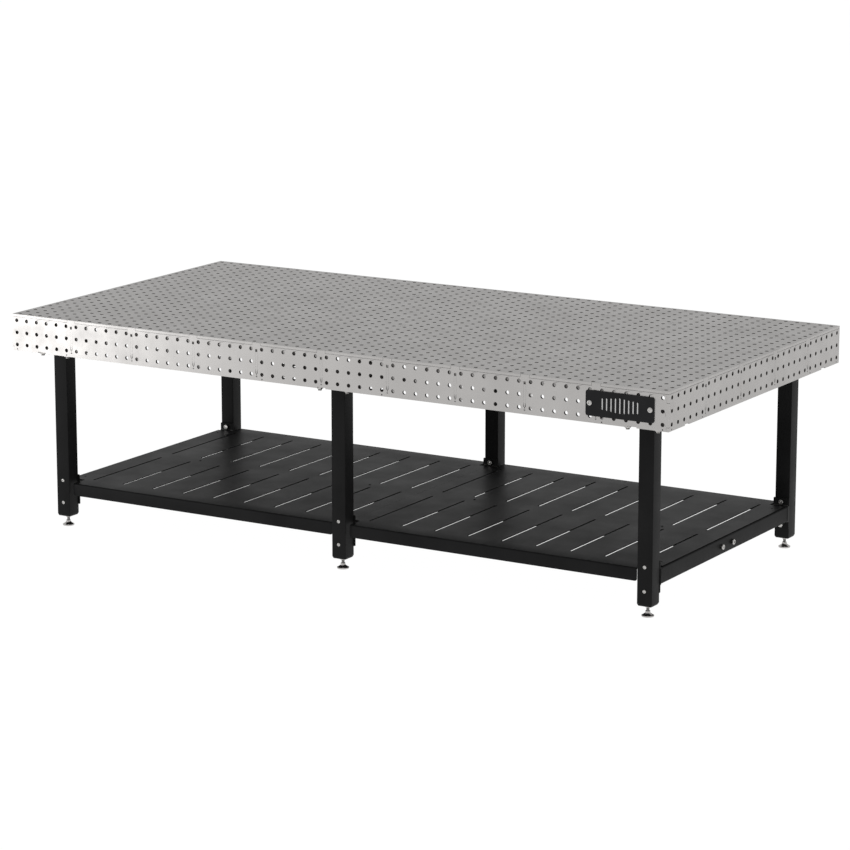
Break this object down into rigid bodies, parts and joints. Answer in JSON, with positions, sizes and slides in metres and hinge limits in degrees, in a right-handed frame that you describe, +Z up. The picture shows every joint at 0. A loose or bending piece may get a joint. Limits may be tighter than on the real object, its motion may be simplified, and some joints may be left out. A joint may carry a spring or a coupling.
{
  "type": "welding table",
  "caption": "Long perforated steel welding and fixturing table: a ribbed box top bolted to square tube legs with levelling feet, a bolted lower frame and a slotted steel shelf.",
  "frame": {"origin": "the centre of the table's plan on the floor, level with the undersides of the feet", "axes": "+X along the long side, to the right seen from the front; +Y towards the back; +Z up"},
  "size_m": [3.048, 1.5323, 0.9144],
  "materials": {
    "plate_steel": "bare laser-cut steel plate, satin",
    "powder_coat": "satin black powder coat with a fine texture",
    "shelf_coat": "satin black powder coat on sheet steel",
    "plaque": "satin black plate",
    "zinc": "bright zinc plate"
  },
  "bodies": {
    "table": {"top_plate": "plate_steel", "side_plate_front": "plate_steel", "side_plate_back": "plate_steel", "end_plate_left": "plate_steel", "end_plate_right": "plate_steel", "cross_rib_1": "plate_steel", "cross_rib_2": "plate_steel", "cross_rib_3": "plate_steel", "cross_rib_4": "plate_steel", "cross_rib_5": "plate_steel", "cross_rib_6": "plate_steel", "cross_rib_7": "plate_steel", "cross_rib_8": "plate_steel", "cross_rib_9": "plate_steel", "long_rib_1": "plate_steel", "long_rib_2": "plate_steel", "long_rib_3": "plate_steel", "long_rib_4": "plate_steel", "mount_plate_front_left": "plate_steel", "mount_plate_front_mid": "plate_steel", "mount_plate_front_right": "plate_steel", "mount_plate_back_left": "plate_steel", "mount_plate_back_mid": "plate_steel", "mount_plate_back_right": "plate_steel", "leg_front_left": "powder_coat", "leg_front_mid": "powder_coat", "leg_front_right": "powder_coat", "leg_back_left": "powder_coat", "leg_back_mid": "powder_coat", "leg_back_right": "powder_coat", "cross_beam_left": "powder_coat", "cross_beam_mid": "powder_coat", "cross_beam_right": "powder_coat", "long_beam_left": "powder_coat", "long_beam_right": "powder_coat", "shelf_left": "shelf_coat", "shelf_right": "shelf_coat", "nameplate": "plaque", "beam_bolt_1": "zinc", "beam_bolt_2": "zinc", "beam_bolt_3": "zinc", "beam_bolt_4": "zinc", "beam_bolt_5": "zinc", "beam_bolt_6": "zinc", "nameplate_screw_left": "zinc", "nameplate_screw_right": "zinc"},
    "pad_front_left": {"foot_pad_front_left": "zinc"},
    "stem_front_left": {"foot_stem_front_left": "zinc"},
    "pad_front_mid": {"foot_pad_front_mid": "zinc"},
    "stem_front_mid": {"foot_stem_front_mid": "zinc"},
    "pad_front_right": {"foot_pad_front_right": "zinc"},
    "stem_front_right": {"foot_stem_front_right": "zinc"},
    "pad_back_left": {"foot_pad_back_left": "zinc"},
    "stem_back_left": {"foot_stem_back_left": "zinc"},
    "pad_back_mid": {"foot_pad_back_mid": "zinc"},
    "stem_back_mid": {"foot_stem_back_mid": "zinc"},
    "pad_back_right": {"foot_pad_back_right": "zinc"},
    "stem_back_right": {"foot_stem_back_right": "zinc"}
  },
  "joints": [
    {"name": "foot_height_front_left", "type": "slide", "parent": "table", "child": "pad_front_left", "axis": [0, 0, 1], "range_m": [-0.025, 0.012]},
    {"name": "foot_screw_front_left", "type": "hinge", "parent": "pad_front_left", "child": "stem_front_left", "pos_m": [-1.3716, -0.6096, 0.0438], "axis": [0, 0, 1], "range_deg": [-4610, 2215]},
    {"name": "foot_height_front_mid", "type": "slide", "parent": "table", "child": "pad_front_mid", "axis": [0, 0, 1], "range_m": [-0.025, 0.012]},
    {"name": "foot_screw_front_mid", "type": "hinge", "parent": "pad_front_mid", "child": "stem_front_mid", "pos_m": [0, -0.6096, 0.0438], "axis": [0, 0, 1], "range_deg": [-4610, 2215]},
    {"name": "foot_height_front_right", "type": "slide", "parent": "table", "child": "pad_front_right", "axis": [0, 0, 1], "range_m": [-0.025, 0.012]},
    {"name": "foot_screw_front_right", "type": "hinge", "parent": "pad_front_right", "child": "stem_front_right", "pos_m": [1.3716, -0.6096, 0.0438], "axis": [0, 0, 1], "range_deg": [-4610, 2215]},
    {"name": "foot_height_back_left", "type": "slide", "parent": "table", "child": "pad_back_left", "axis": [0, 0, 1], "range_m": [-0.025, 0.012]},
    {"name": "foot_screw_back_left", "type": "hinge", "parent": "pad_back_left", "child": "stem_back_left", "pos_m": [-1.3716, 0.6096, 0.0438], "axis": [0, 0, 1], "range_deg": [-4610, 2215]},
    {"name": "foot_height_back_mid", "type": "slide", "parent": "table", "child": "pad_back_mid", "axis": [0, 0, 1], "range_m": [-0.025, 0.012]},
    {"name": "foot_screw_back_mid", "type": "hinge", "parent": "pad_back_mid", "child": "stem_back_mid", "pos_m": [0, 0.6096, 0.0438], "axis": [0, 0, 1], "range_deg": [-4610, 2215]},
    {"name": "foot_height_back_right", "type": "slide", "parent": "table", "child": "pad_back_right", "axis": [0, 0, 1], "range_m": [-0.025, 0.012]},
    {"name": "foot_screw_back_right", "type": "hinge", "parent": "pad_back_right", "child": "stem_back_right", "pos_m": [1.3716, 0.6096, 0.0438], "axis": [0, 0, 1], "range_deg": [-4610, 2215]}
  ],
  "couplings": [
    {"joint": "foot_screw_front_left", "follows": "foot_height_front_left", "rad_per_m": 3215.8},
    {"joint": "foot_screw_front_mid", "follows": "foot_height_front_mid", "rad_per_m": 3215.8},
    {"joint": "foot_screw_front_right", "follows": "foot_height_front_right", "rad_per_m": 3215.8},
    {"joint": "foot_screw_back_left", "follows": "foot_height_back_left", "rad_per_m": 3215.8},
    {"joint": "foot_screw_back_mid", "follows": "foot_height_back_mid", "rad_per_m": 3215.8},
    {"joint": "foot_screw_back_right", "follows": "foot_height_back_right", "rad_per_m": 3215.8}
  ]
}
